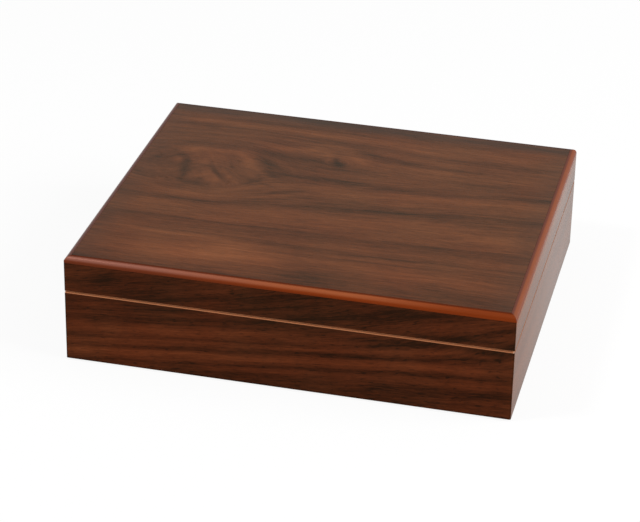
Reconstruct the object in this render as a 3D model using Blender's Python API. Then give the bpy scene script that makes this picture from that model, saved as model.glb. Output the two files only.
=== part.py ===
"""A low wooden box with a hinged lid, veneered in walnut and lined with thin cedar.

Metres, +Z up. The origin is the centre of the resting face, which is the underside of the felt.
+X is the box's right, -Y its front. The lid is closed and turns about the axis at the back of the seam.
"""

import math

import bmesh
import bpy

# Overall size of the wooden parts, over the veneer
BOX_WIDTH = 0.260
BOX_DEPTH = 0.223
BASE_HEIGHT = 0.0433
LID_HEIGHT = 0.0222

# Clearances
GLUE_LINE = 0.0001
REST_GAP = 0.0002
LIP_CLEARANCE = 0.0004
LIP_HEADROOM = 0.0005
LEAF_CLEARANCE = 0.0001
BARREL_CLEARANCE = 0.0003
KNUCKLE_CLEARANCE = 0.00015
PIN_CLEARANCE = 0.00006
STOP_CLEARANCE = 0.00006
SCREW_CLEARANCE = 0.0001

# Skins and edges
VENEER_THICKNESS = 0.0007
CORNER_RADIUS = 0.0008
RIM_CHAMFER = 0.0006
EDGING_SIZE = 0.0038
EDGING_FLAT = 0.0002
EASED_EDGE = 0.0003

# Carcass
WALL_THICKNESS = 0.0090
BOTTOM_THICKNESS = 0.0050
BOTTOM_LEDGE = 0.0045
LID_PANEL_THICKNESS = 0.0060
FELT_THICKNESS = 0.0010
FELT_MARGIN = 0.0030
FELT_CORNER_RADIUS = 0.0040

# Lining
LINING_THICKNESS = 0.0040
FLOOR_LINING_THICKNESS = 0.0030
CEILING_LINING_THICKNESS = 0.0025
LIP_HEIGHT = 0.0050
LIP_ROUNDING = 0.0012

# Hinges
HINGE_END_DISTANCE = 0.050
HINGE_LENGTH = 0.036
LEAF_THICKNESS = 0.0012
LEAF_EDGE_MARGIN = 0.0010
LEAF_CORNER_RADIUS = 0.0015
BARREL_RADIUS = 0.0024
PIN_RADIUS = 0.0010
PIN_END_CHAMFER = 0.0002
STOP_LENGTH = 0.0040
MIDDLE_KNUCKLE_LENGTH = 0.0100
OPEN_ANGLE = math.radians(95)

# Hinge screws
SCREW_END_DISTANCE = 0.0070
SCREW_LENGTH = 0.0080
SCREW_HEAD_RADIUS = 0.0019
SCREW_HEAD_RIM = 0.0001
SCREW_SHANK_RADIUS = 0.0008
SCREW_PLAIN_LENGTH = 0.0014
SCREW_THREAD_DEPTH = 0.0003
SCREW_THREAD_PITCH = 0.0009
SCREW_POINT_LENGTH = 0.0015
SCREW_POINT_RADIUS = 0.0001
SCREW_SLOT_WIDTH = 0.0005
SCREW_SLOT_DEPTH = 0.0005

# Fineness of the round shapes
BARREL_STEPS = 24
SCREW_STEPS = 16
ARC_STEPS = 6
BOX_CORNER_STEPS = 3
EDGING_STEPS = 10
LIP_STEPS = 4
SMOOTH_ANGLE = math.radians(30)

# How far a cutter reaches past a face that it opens
OVERSHOOT = 0.0010

# Heights that follow
CARCASS_BOTTOM = FELT_THICKNESS + GLUE_LINE
BOTTOM_TOP = CARCASS_BOTTOM + BOTTOM_THICKNESS
FLOOR_BOTTOM = BOTTOM_TOP + GLUE_LINE
FLOOR_TOP = FLOOR_BOTTOM + FLOOR_LINING_THICKNESS
BASE_RIM = CARCASS_BOTTOM + BASE_HEIGHT
LIP_TOP = BASE_RIM + LIP_HEIGHT
SEAM = BASE_RIM + REST_GAP / 2
LID_RIM = BASE_RIM + REST_GAP
LID_TOP = LID_RIM + LID_HEIGHT
EDGING_BOTTOM = LID_TOP - EDGING_SIZE
EDGING_SEAT = EDGING_BOTTOM - GLUE_LINE
TOP_VENEER_BOTTOM = LID_TOP - VENEER_THICKNESS
PANEL_TOP = TOP_VENEER_BOTTOM - GLUE_LINE
PANEL_BOTTOM = PANEL_TOP - LID_PANEL_THICKNESS
LID_WALL_TOP = PANEL_BOTTOM - GLUE_LINE
CEILING_BOTTOM = LID_WALL_TOP - CEILING_LINING_THICKNESS

# Insets that follow, measured inwards from the outside of the veneer
CORE_OUTSIDE = VENEER_THICKNESS + GLUE_LINE
BASE_WALL_INSIDE = CORE_OUTSIDE + WALL_THICKNESS
BOTTOM_EDGE = BASE_WALL_INSIDE - BOTTOM_LEDGE
BASE_LINING_OUTSIDE = BASE_WALL_INSIDE + GLUE_LINE
LID_WALL_INSIDE = BASE_LINING_OUTSIDE - LIP_CLEARANCE
LID_LINING_OUTSIDE = LID_WALL_INSIDE + GLUE_LINE
TOP_VENEER_EDGE = EDGING_SIZE + GLUE_LINE
EDGING_RADIUS = EDGING_SIZE - EDGING_FLAT
LEAF_EDGE = LID_WALL_INSIDE - LEAF_EDGE_MARGIN

# Hinge sizes that follow, measured from the hinge's own axis and middle
BORE_RADIUS = PIN_RADIUS + PIN_CLEARANCE
GROOVE_RADIUS = BARREL_RADIUS + BARREL_CLEARANCE
HALF_GAP = REST_GAP / 2
LEAF_UNDERSIDE = HALF_GAP + LEAF_THICKNESS
HINGE_HALF = HINGE_LENGTH / 2
MIDDLE_HALF = MIDDLE_KNUCKLE_LENGTH / 2
STOP_START = HINGE_HALF - STOP_LENGTH
SCREW_INSET = (GROOVE_RADIUS + LEAF_EDGE) / 2
SCREW_X = HINGE_HALF - SCREW_END_DISTANCE
HINGE_X = BOX_WIDTH / 2 - HINGE_END_DISTANCE
HINGE_Y = BOX_DEPTH / 2

SIDES = ("front", "right", "back", "left")


def clear_scene():
    for obj in list(bpy.data.objects):
        bpy.data.objects.remove(obj, do_unlink=True)


def make_material(name, colour, roughness, metallic=0.0):
    material = bpy.data.materials.new(name)
    material.use_nodes = True
    shader = material.node_tree.nodes["Principled BSDF"]
    shader.inputs["Base Color"].default_value = (*colour, 1.0)
    shader.inputs["Roughness"].default_value = roughness
    shader.inputs["Metallic"].default_value = metallic
    material.diffuse_color = (*colour, 1.0)
    return material


def make_materials():
    return {
        "walnut": make_material("walnut veneer", (0.115, 0.048, 0.028), 0.32),
        "cherry": make_material("cherry edging", (0.300, 0.075, 0.028), 0.28),
        "core": make_material("pale core wood", (0.540, 0.330, 0.190), 0.60),
        "cedar": make_material("cedar lining", (0.430, 0.215, 0.110), 0.65),
        "felt": make_material("dark felt", (0.020, 0.030, 0.024), 0.95),
        "brass": make_material("brass", (0.780, 0.560, 0.240), 0.30, 1.0),
    }


# Meshes


def closed_mesh(name, vertices, faces):
    """A mesh of these faces, turned to face outwards and shaded smooth over its shallow edges."""
    bm = bmesh.new()
    corners = [bm.verts.new(vertex) for vertex in vertices]
    for face in faces:
        bm.faces.new([corners[index] for index in face])
    bmesh.ops.recalc_face_normals(bm, faces=bm.faces)
    mesh = bpy.data.meshes.new(name)
    bm.to_mesh(mesh)
    bm.free()
    shade(mesh)
    return mesh


def shade(mesh):
    mesh.shade_smooth()
    mesh.set_sharp_from_angle(angle=SMOOTH_ANGLE)


def skinned_mesh(name, loops):
    """Joins loops of as many points each, one after another, and closes both ends with a face."""
    count = len(loops[0])
    last = (len(loops) - 1) * count
    faces = [list(range(count)), list(range(last, last + count))]
    for start in range(0, last, count):
        for k in range(start, start + count):
            after = start + (k + 1 - start) % count
            faces.append([k, after, after + count, k + count])
    return closed_mesh(name, [point for loop in loops for point in loop], faces)


def rounded_rectangle(half_x, half_y, radius, z):
    points = []
    for quarter, (sign_x, sign_y) in enumerate(((1, 1), (-1, 1), (-1, -1), (1, -1))):
        centre_x = sign_x * (half_x - radius)
        centre_y = sign_y * (half_y - radius)
        if radius <= 0:
            points.append((centre_x, centre_y, z))
            continue
        for step in range(ARC_STEPS + 1):
            angle = math.radians(90) * (quarter + step / ARC_STEPS)
            points.append((centre_x + radius * math.cos(angle), centre_y + radius * math.sin(angle), z))
    return points


def prism_along_x(name, outline, start, end):
    """The (y, z) outline, carried along X."""
    return skinned_mesh(name, [[(x, y, z) for y, z in outline] for x in (start, end)])


def circle(radius, steps):
    angles = [2 * math.pi * step / steps for step in range(steps)]
    return [(radius * math.cos(angle), radius * math.sin(angle)) for angle in angles]


def turned_mesh(name, profile, steps):
    """A solid turned about Z from (radius, z) points, with a flat at each end."""
    return skinned_mesh(name, [[(x, y, z) for x, y in circle(radius, steps)] for radius, z in profile])


def box_mesh(name, low, high):
    ground = [(low[0], low[1]), (high[0], low[1]), (high[0], high[1]), (low[0], high[1])]
    return skinned_mesh(name, [[(x, y, z) for x, y in ground] for z in (low[2], high[2])])


# Objects


def add_object(name, mesh, material=None, parent=None):
    """An object of this mesh. Under a parent its location is still measured in the world."""
    obj = bpy.data.objects.new(name, mesh)
    bpy.context.scene.collection.objects.link(obj)
    if material is not None and not mesh.materials:
        mesh.materials.append(material)
    if parent is not None:
        obj.parent = parent
        obj.matrix_parent_inverse = parent.matrix_world.inverted()
    return obj


def add_cutter(name, mesh):
    cutter = add_object(name, mesh)
    cutter.hide_render = True
    cutter.display_type = "WIRE"
    return cutter


def combine(obj, other, operation):
    modifier = obj.modifiers.new(other.name, "BOOLEAN")
    modifier.operation = operation
    modifier.solver = "EXACT"
    modifier.object = other


def finished_mesh(name, obj):
    """The mesh that this object has after its modifiers. The object and what it was combined with go."""
    helpers = [modifier.object for modifier in obj.modifiers]
    bpy.context.view_layer.update()
    graph = bpy.context.evaluated_depsgraph_get()
    mesh = bpy.data.meshes.new_from_object(obj.evaluated_get(graph))
    mesh.name = name
    for used in [obj, *helpers]:
        bpy.data.objects.remove(used, do_unlink=True)
    shade(mesh)
    return mesh


# Bars and sheets


def corner_inset(inset, radius):
    """How far a mitred bar ends short of the box's corner at this inset, with the corner rounded."""
    if inset >= radius * (1 - math.sqrt(0.5)):
        return inset
    return radius - math.sqrt(radius**2 - (radius - inset) ** 2)


def corner_insets():
    """The insets at which a rounded corner is drawn."""
    angles = [math.radians(45) * step / BOX_CORNER_STEPS for step in range(BOX_CORNER_STEPS + 1)]
    return [CORNER_RADIUS * (1 - math.cos(angle)) for angle in angles]


def on_side(side, along, inset, z):
    """The point this far along a side of the box, seen from outside, and this far inside its face."""
    if side == "front":
        return (along, inset - BOX_DEPTH / 2, z)
    if side == "right":
        return (BOX_WIDTH / 2 - inset, along, z)
    if side == "back":
        return (-along, BOX_DEPTH / 2 - inset, z)
    return (inset - BOX_WIDTH / 2, -along, z)


def mitred_bar(name, side, stations, material, parent=None, radius=0.0):
    """A bar along one side of the box, mitred at both ends, with the box's corner rounded.

    Each station is (inset, lowest z, highest z), from the outer face inwards.
    """
    half = (BOX_WIDTH if side in ("front", "back") else BOX_DEPTH) / 2
    mitre_gap = GLUE_LINE * math.sqrt(0.5)
    loops = []
    for inset, low, high in stations:
        reach = half - corner_inset(inset, radius) - mitre_gap
        section = ((-reach, low), (reach, low), (reach, high), (-reach, high))
        loops.append([on_side(side, along, inset, z) for along, z in section])
    return add_object(name, skinned_mesh(name, loops), material, parent)


def sheet_mesh(name, levels, radius=0.0):
    """A sheet of the box's outline. Each level is (inset, z), from the bottom up."""
    loops = []
    for inset, z in levels:
        loops.append(rounded_rectangle(BOX_WIDTH / 2 - inset, BOX_DEPTH / 2 - inset, radius, z))
    return skinned_mesh(name, loops)


def add_sheet(name, levels, material, parent=None, radius=0.0):
    return add_object(name, sheet_mesh(name, levels, radius), material, parent)


def eased_levels(inset, low, high):
    return [
        (inset + EASED_EDGE, low),
        (inset, low + EASED_EDGE),
        (inset, high - EASED_EDGE),
        (inset + EASED_EDGE, high),
    ]


def wall_stations(inside, low, high):
    return [(CORE_OUTSIDE, low, high), (inside, low, high)]


def base_veneer_stations():
    insets = sorted({*corner_insets(), RIM_CHAMFER, VENEER_THICKNESS})
    return [(inset, CARCASS_BOTTOM, BASE_RIM - max(0.0, RIM_CHAMFER - inset)) for inset in insets]


def lid_veneer_stations():
    insets = sorted({*corner_insets(), RIM_CHAMFER, VENEER_THICKNESS})
    return [(inset, LID_RIM + max(0.0, RIM_CHAMFER - inset), EDGING_SEAT) for inset in insets]


def edging_stations():
    """The edging's section: a quarter round, with a short flat below it and behind it."""
    angles = [math.radians(90) * step / EDGING_STEPS for step in range(EDGING_STEPS + 1)]
    round_insets = [EDGING_RADIUS * (1 - math.cos(angle)) for angle in angles]
    stations = []
    for inset in sorted({*corner_insets(), *round_insets, EDGING_SIZE}):
        drop = 0.0
        if inset < EDGING_RADIUS:
            drop = EDGING_RADIUS - math.sqrt(EDGING_RADIUS**2 - (EDGING_RADIUS - inset) ** 2)
        stations.append((inset, EDGING_BOTTOM, LID_TOP - drop))
    return stations


def lip_stations():
    """The base lining's section, rounded over along both edges of its top."""
    angles = [math.radians(90) * step / LIP_STEPS for step in range(LIP_STEPS + 1)]
    outer = []
    for angle in angles:
        inset = LIP_ROUNDING * (1 - math.cos(angle))
        drop = LIP_ROUNDING * (1 - math.sin(angle))
        outer.append((inset, drop))
    inner = [(LINING_THICKNESS - inset, drop) for inset, drop in reversed(outer)]
    bottom = FLOOR_TOP + GLUE_LINE
    return [(BASE_LINING_OUTSIDE + inset, bottom, LIP_TOP - drop) for inset, drop in outer + inner]


def lid_lining_stations():
    low = LIP_TOP + LIP_HEADROOM
    high = CEILING_BOTTOM - GLUE_LINE
    inside = LID_LINING_OUTSIDE + LINING_THICKNESS
    return [(LID_LINING_OUTSIDE, low, high), (inside, low, high)]


# The base and the lid


def add_base(materials):
    for side in SIDES:
        wall = wall_stations(BASE_WALL_INSIDE, CARCASS_BOTTOM, BASE_RIM)
        mitred_bar(f"base_{side}_wall", side, wall, materials["core"])
        veneer = base_veneer_stations()
        mitred_bar(f"base_{side}_veneer", side, veneer, materials["walnut"], None, CORNER_RADIUS)
        mitred_bar(f"base_{side}_lining", side, lip_stations(), materials["cedar"])
    add_sheet("bottom_panel", eased_levels(BOTTOM_EDGE, CARCASS_BOTTOM, BOTTOM_TOP), materials["core"])
    floor = [(BASE_LINING_OUTSIDE, FLOOR_BOTTOM), (BASE_LINING_OUTSIDE, FLOOR_TOP)]
    add_sheet("floor_lining", floor, materials["cedar"])
    felt = eased_levels(FELT_MARGIN, 0.0, FELT_THICKNESS)
    add_sheet("felt_base", felt, materials["felt"], None, FELT_CORNER_RADIUS)


def add_lid(materials, axis):
    for side in SIDES:
        wall = wall_stations(LID_WALL_INSIDE, LID_RIM, LID_WALL_TOP)
        mitred_bar(f"lid_{side}_wall", side, wall, materials["core"], axis)
        veneer = lid_veneer_stations()
        mitred_bar(f"lid_{side}_veneer", side, veneer, materials["walnut"], axis, CORNER_RADIUS)
        mitred_bar(f"lid_{side}_lining", side, lid_lining_stations(), materials["cedar"], axis)
        mitred_bar(f"lid_{side}_edging", side, edging_stations(), materials["cherry"], axis, CORNER_RADIUS)
    panel = [
        (CORE_OUTSIDE, PANEL_BOTTOM),
        (CORE_OUTSIDE, EDGING_SEAT),
        (TOP_VENEER_EDGE, EDGING_SEAT),
        (TOP_VENEER_EDGE, PANEL_TOP),
    ]
    add_sheet("lid_panel", panel, materials["core"], axis)
    top = [(TOP_VENEER_EDGE, TOP_VENEER_BOTTOM), (TOP_VENEER_EDGE, LID_TOP)]
    add_sheet("top_veneer", top, materials["walnut"], axis)
    ceiling = [(LID_LINING_OUTSIDE, CEILING_BOTTOM), (LID_LINING_OUTSIDE, LID_WALL_TOP)]
    add_sheet("ceiling_lining", ceiling, materials["cedar"], axis)


def cut_bottom_rebate():
    """The step round the inside of the walls' lower edge, which the bottom panel fits."""
    edge = BOTTOM_EDGE - GLUE_LINE
    levels = [(edge, CARCASS_BOTTOM - OVERSHOOT), (edge, BOTTOM_TOP + GLUE_LINE)]
    rebate = add_cutter("cut_bottom_rebate", sheet_mesh("cut_bottom_rebate", levels))
    for side in SIDES:
        combine(bpy.data.objects[f"base_{side}_wall"], rebate, "DIFFERENCE")


# The hinges, drawn about their own axis with the base's leaf below it


def leaf_plan(clearance, outer_y, z):
    """A leaf seen from above, grown by a clearance, with its two inner corners rounded."""
    half = HINGE_HALF + clearance
    edge = -LEAF_EDGE - clearance
    radius = LEAF_CORNER_RADIUS + clearance
    points = [(half, outer_y, z), (-half, outer_y, z)]
    for centre_x, first_angle in ((radius - half, 180), (half - radius, 270)):
        for step in range(ARC_STEPS + 1):
            angle = math.radians(first_angle + 90 * step / ARC_STEPS)
            points.append((centre_x + radius * math.cos(angle), edge + radius + radius * math.sin(angle), z))
    return points


def stop_cutter(name, start, end):
    """Takes the open sector out of a barrel, so that the base's leaf stops the lid at its full opening."""
    reach = 2 * BARREL_RADIUS
    half_angle = OPEN_ANGLE / 2
    back = STOP_CLEARANCE / 2
    along = (HALF_GAP - back * math.cos(half_angle)) / math.sin(half_angle)
    near_y = along * math.cos(half_angle) - back * math.sin(half_angle)
    far_y = reach * math.cos(half_angle) - back * math.sin(half_angle)
    far_z = -reach * math.sin(half_angle) - back * math.cos(half_angle)
    outline = [(-reach, -HALF_GAP), (near_y, -HALF_GAP), (far_y, far_z), (reach, reach), (-reach, reach)]
    return add_cutter(name, prism_along_x(name, outline, start, end))


def barrel_piece(name, start, end):
    return add_cutter(name, prism_along_x(name, circle(BARREL_RADIUS, BARREL_STEPS), start, end))


def add_plate(name):
    """The flat of a leaf, as far as the middle of the barrel's wall."""
    outer_y = -(BORE_RADIUS + BARREL_RADIUS) / 2
    loops = [leaf_plan(0.0, outer_y, -LEAF_UNDERSIDE), leaf_plan(0.0, outer_y, -HALF_GAP)]
    return add_object(name, skinned_mesh(name, loops))


def notch_cutter(name, start, end):
    """Room in a leaf's flat for a knuckle of the other leaf."""
    low = (start, -GROOVE_RADIUS, -LEAF_UNDERSIDE - OVERSHOOT)
    high = (end, GROOVE_RADIUS, OVERSHOOT)
    return add_cutter(name, box_mesh(name, low, high))


def bored_leaf(name, plate, flipped):
    """Bores the barrel and countersinks the flat. The lid's leaf is turned over about its axis."""
    bore = prism_along_x("bore", circle(BORE_RADIUS, BARREL_STEPS), -HINGE_LENGTH, HINGE_LENGTH)
    combine(plate, add_cutter("bore", bore), "DIFFERENCE")
    for sign in (-1, 1):
        sink_mesh = turned_mesh("countersink", head_profile(SCREW_CLEARANCE), SCREW_STEPS)
        sink = add_cutter("countersink", sink_mesh)
        sink.location = (sign * SCREW_X, -SCREW_INSET, -HALF_GAP)
        combine(plate, sink, "DIFFERENCE")
    mesh = finished_mesh(name, plate)
    if flipped:
        for vertex in mesh.vertices:
            vertex.co.z = -vertex.co.z
        mesh.flip_normals()
    return mesh


def base_leaf_mesh():
    """A knuckle on each side of the middle one. Its outer end is cut back to a stop."""
    plate = add_plate("base_leaf_plate")
    near = MIDDLE_HALF + KNUCKLE_CLEARANCE
    combine(plate, notch_cutter("middle_notch", -near, near), "DIFFERENCE")
    for sign in (-1, 1):
        knuckle = barrel_piece("base_knuckle", *sorted((sign * near, sign * HINGE_HALF)))
        stop_near = sign * (STOP_START - KNUCKLE_CLEARANCE)
        stop = stop_cutter("base_stop", *sorted((stop_near, sign * HINGE_LENGTH)))
        combine(knuckle, stop, "DIFFERENCE")
        joined = finished_mesh("base_knuckle", knuckle)
        combine(plate, add_cutter("base_knuckle", joined), "UNION")
    return bored_leaf("base_leaf", plate, False)


def lid_leaf_mesh():
    """The middle knuckle, and a stop at each end of the barrel."""
    plate = add_plate("lid_leaf_plate")
    near = MIDDLE_HALF
    far = STOP_START
    combine(plate, barrel_piece("middle_knuckle", -near, near), "UNION")
    for sign in (-1, 1):
        combine(plate, notch_cutter("outer_notch", *sorted((sign * near, sign * far))), "DIFFERENCE")
        knuckle = barrel_piece("lid_stop", *sorted((sign * far, sign * HINGE_HALF)))
        stop = stop_cutter("lid_stop_cut", *sorted((sign * near, sign * HINGE_LENGTH)))
        combine(knuckle, stop, "DIFFERENCE")
        joined = finished_mesh("lid_stop", knuckle)
        combine(plate, add_cutter("lid_stop", joined), "UNION")
    return bored_leaf("lid_leaf", plate, True)


def pin_mesh():
    end = PIN_RADIUS - PIN_END_CHAMFER
    shoulder = HINGE_HALF - PIN_END_CHAMFER
    stations = ((-HINGE_HALF, end), (-shoulder, PIN_RADIUS), (shoulder, PIN_RADIUS), (HINGE_HALF, end))
    loops = [[(x, y, z) for y, z in circle(radius, BARREL_STEPS)] for x, radius in stations]
    return skinned_mesh("hinge_pin", loops)


def head_profile(clearance):
    """A countersunk head, grown by a clearance, with its top at z = 0 when there is none."""
    slope = SCREW_HEAD_RADIUS - SCREW_SHANK_RADIUS
    shank = SCREW_SHANK_RADIUS + clearance
    head = SCREW_HEAD_RADIUS + clearance
    profile = [(head, -SCREW_HEAD_RIM), (shank, -SCREW_HEAD_RIM - slope)]
    if clearance > 0:
        return [(head, OVERSHOOT), *profile, (shank, -LEAF_THICKNESS - OVERSHOOT)]
    return [(head, 0.0), *profile]


def screw_mesh():
    """A slotted wood screw. Its thread is drawn as ridges."""
    profile = head_profile(0.0)
    ridge = profile[-1][1] - SCREW_PLAIN_LENGTH
    point_start = -SCREW_LENGTH + SCREW_POINT_LENGTH
    while ridge - SCREW_THREAD_PITCH >= point_start:
        profile.append((SCREW_SHANK_RADIUS, ridge))
        profile.append((SCREW_SHANK_RADIUS + SCREW_THREAD_DEPTH, ridge - SCREW_THREAD_PITCH / 2))
        ridge -= SCREW_THREAD_PITCH
    profile.append((SCREW_SHANK_RADIUS, ridge))
    profile.append((SCREW_POINT_RADIUS, -SCREW_LENGTH))
    screw = add_object("screw", turned_mesh("screw", profile, SCREW_STEPS))
    reach = SCREW_HEAD_RADIUS + OVERSHOOT
    low = (-reach, -SCREW_SLOT_WIDTH / 2, -SCREW_SLOT_DEPTH)
    high = (reach, SCREW_SLOT_WIDTH / 2, OVERSHOOT)
    combine(screw, add_cutter("slot", box_mesh("slot", low, high)), "DIFFERENCE")
    return finished_mesh("hinge_screw", screw)


def add_hinges(materials, axis):
    brass = materials["brass"]
    base_leaf = base_leaf_mesh()
    lid_leaf = lid_leaf_mesh()
    pin = pin_mesh()
    screw = screw_mesh()
    for hand, hinge_x in (("left", -HINGE_X), ("right", HINGE_X)):
        centre = (hinge_x, HINGE_Y, SEAM)
        add_object(f"hinge_{hand}_base_leaf", base_leaf, brass).location = centre
        add_object(f"hinge_{hand}_pin", pin, brass).location = centre
        add_object(f"hinge_{hand}_lid_leaf", lid_leaf, brass, axis).location = centre
        for number, sign in ((1, -1), (2, 1)):
            x = hinge_x + sign * SCREW_X
            y = HINGE_Y - SCREW_INSET
            name = f"hinge_{hand}_base_screw_{number}"
            add_object(name, screw, brass).location = (x, y, SEAM - HALF_GAP)
            lid_screw = add_object(f"hinge_{hand}_lid_screw_{number}", screw, brass, axis)
            lid_screw.location = (x, y, SEAM + HALF_GAP)
            lid_screw.rotation_euler = (math.pi, 0, 0)


def cut_hinge_seats():
    """Recesses for the leaves, a groove for the barrel and pilot holes, in the two back walls."""
    walls = [bpy.data.objects[f"{part}_back_wall"] for part in ("base", "lid")]
    veneers = [bpy.data.objects[f"{part}_back_veneer"] for part in ("base", "lid")]
    depth = LEAF_UNDERSIDE + LEAF_CLEARANCE
    loops = [leaf_plan(LEAF_CLEARANCE, OVERSHOOT, z) for z in (-depth, depth)]
    recess_mesh = skinned_mesh("cut_leaf_recess", loops)
    groove_half = HINGE_HALF + LEAF_CLEARANCE
    groove = circle(GROOVE_RADIUS, BARREL_STEPS)
    groove_mesh = prism_along_x("cut_barrel_groove", groove, -groove_half, groove_half)
    pilot_radius = SCREW_SHANK_RADIUS + SCREW_THREAD_DEPTH + SCREW_CLEARANCE
    pilot_end = SCREW_LENGTH + HALF_GAP + SCREW_CLEARANCE
    pilot = [(pilot_radius, pilot_end), (pilot_radius, -pilot_end)]
    pilot_mesh = turned_mesh("cut_pilot_hole", pilot, SCREW_STEPS)
    for hand, hinge_x in (("left", -HINGE_X), ("right", HINGE_X)):
        recess = add_cutter(f"cut_{hand}_leaf_recess", recess_mesh)
        groove = add_cutter(f"cut_{hand}_barrel_groove", groove_mesh)
        for cutter in (recess, groove):
            cutter.location = (hinge_x, HINGE_Y, SEAM)
        cutters = [recess, groove]
        for number, sign in ((1, -1), (2, 1)):
            hole = add_cutter(f"cut_{hand}_pilot_hole_{number}", pilot_mesh)
            hole.location = (hinge_x + sign * SCREW_X, HINGE_Y - SCREW_INSET, SEAM)
            cutters.append(hole)
        for wall in walls:
            for cutter in cutters:
                combine(wall, cutter, "DIFFERENCE")
        for veneer in veneers:
            combine(veneer, groove, "DIFFERENCE")


def main():
    clear_scene()
    materials = make_materials()
    axis = bpy.data.objects.new("lid_hinge_axis", None)
    bpy.context.scene.collection.objects.link(axis)
    axis.location = (0, HINGE_Y, SEAM)
    bpy.context.view_layer.update()
    add_base(materials)
    add_lid(materials, axis)
    cut_bottom_rebate()
    add_hinges(materials, axis)
    cut_hinge_seats()


main()
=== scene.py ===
"""The looks of the walnut-veneered box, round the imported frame: materials, eased edges, studio, camera."""

import math
from typing import NamedTuple

import bpy
from mathutils import Matrix, Vector


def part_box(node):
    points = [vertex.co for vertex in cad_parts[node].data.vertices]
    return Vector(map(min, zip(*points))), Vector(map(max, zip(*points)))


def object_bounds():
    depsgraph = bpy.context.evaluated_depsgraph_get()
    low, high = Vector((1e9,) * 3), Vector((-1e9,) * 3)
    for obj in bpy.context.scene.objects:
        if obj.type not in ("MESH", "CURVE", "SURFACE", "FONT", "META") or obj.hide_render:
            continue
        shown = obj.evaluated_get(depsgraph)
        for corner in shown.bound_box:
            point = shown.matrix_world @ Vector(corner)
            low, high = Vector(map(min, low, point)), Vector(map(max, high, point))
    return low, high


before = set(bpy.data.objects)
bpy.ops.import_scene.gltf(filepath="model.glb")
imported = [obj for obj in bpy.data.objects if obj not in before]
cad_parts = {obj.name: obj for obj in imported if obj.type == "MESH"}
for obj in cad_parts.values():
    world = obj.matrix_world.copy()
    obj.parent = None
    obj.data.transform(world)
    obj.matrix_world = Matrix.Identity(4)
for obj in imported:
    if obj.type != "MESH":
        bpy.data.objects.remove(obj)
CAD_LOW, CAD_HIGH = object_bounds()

# The camera, found from the box's own edges in the photograph
CAMERA_AZIMUTH = math.radians(13.08)
CAMERA_ELEVATION = math.radians(27.97)
CAMERA_ROLL = math.radians(1.19)
CAMERA_DISTANCE = 1.5001
CAMERA_RIGHT = -0.0061
CAMERA_UP = 0.0217
CAMERA_LENS = 139.2
CAMERA_SENSOR = 36.0

# The studio
FLOOR_SIZE = 8.0
FLOOR_BOUNCE = 0.88
FLOOR_ROUGHNESS = 0.9
FLOOR_GLOW = 0.90
SKY_LIGHT = 0.42
BACKDROP_WHITE = 1.0
STUDIO_AIM = (0.0, 0.0, 0.03)


class Softbox(NamedTuple):
    """A square lamp: its place and size in metres and its power in watts."""

    name: str
    place: tuple
    size: float
    power: float


SOFTBOXES = (
    Softbox("key softbox", place=(1.33, -0.06, 0.82), size=1.0, power=23.0),
    Softbox("small softbox", place=(-0.62, -0.46, 1.20), size=0.2, power=7.5),
)

# Heights on the box, and the chamfer of the veneers' rims at the seam
WOOD_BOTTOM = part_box("base_front_veneer")[0][2]
BASE_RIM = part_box("base_front_veneer")[1][2]
LID_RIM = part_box("lid_front_veneer")[0][2]
EDGING_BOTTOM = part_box("lid_front_edging")[0][2]
LID_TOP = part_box("top_veneer")[1][2]
RIM_CHAMFER = 0.0006

# Shading of the CAD nodes
WELD_DISTANCE = 0.000001
SMOOTH_ANGLE = math.radians(30)
BEVEL_ANGLE = math.radians(40)
BEVEL_SEGMENTS = 2

# How far the edges of linings, hinge leaves and screws are eased, by a part of their names
EASED_EDGES = (("lining", 0.00025), ("leaf", 0.00012), ("screw", 0.00006))

SIDES = ("front", "right", "back", "left")


# Fields: numbers that vary over a surface


class Field:
    """A number that varies over a surface. Arithmetic on fields adds Math nodes to their material."""

    def __init__(self, tree, socket):
        self.tree = tree
        self.socket = socket

    def math(self, operation, *others):
        node = self.tree.nodes.new("ShaderNodeMath")
        node.operation = operation
        for slot, value in zip(node.inputs, (self, *others)):
            feed(self.tree, slot, value)
        return Field(self.tree, node.outputs["Value"])

    def __add__(self, other):
        return self.math("ADD", other)

    def __radd__(self, other):
        return self.math("ADD", other)

    def __sub__(self, other):
        return self.math("SUBTRACT", other)

    def __rsub__(self, other):
        return (self * -1.0).math("ADD", other)

    def __mul__(self, other):
        return self.math("MULTIPLY", other)

    def __rmul__(self, other):
        return self.math("MULTIPLY", other)

    def __truediv__(self, other):
        return self.math("DIVIDE", other)

    def __rtruediv__(self, other):
        return self.math("POWER", -1.0) * other

    def squared(self):
        return self.math("MULTIPLY", self)

    def absolute(self):
        return self.math("ABSOLUTE")

    def exp(self):
        return self.math("EXPONENT")

    def least(self, other):
        return self.math("MINIMUM", other)

    def most(self, other):
        return self.math("MAXIMUM", other)

    def above(self, other):
        return self.math("GREATER_THAN", other)

    def step(self, low, high):
        """0 below low and 1 above high, with a smooth rise between them."""
        node = self.tree.nodes.new("ShaderNodeMapRange")
        node.interpolation_type = "SMOOTHSTEP"
        # A smooth rise stays between 0 and 1 by itself
        node.clamp = False
        feed(self.tree, node.inputs["Value"], self)
        node.inputs["From Min"].default_value = low
        node.inputs["From Max"].default_value = high
        return Field(self.tree, node.outputs["Result"])

    def hump(self, centre, width):
        """1 at the centre, falling off to nothing over about twice the width."""
        return (((self - centre) / width).squared() * -1.0).exp()


def feed(tree, slot, value):
    """Links a field to a socket, or sets the socket to a plain value."""
    if isinstance(value, Field):
        tree.links.new(value.socket, slot)
    else:
        slot.default_value = value


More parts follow.
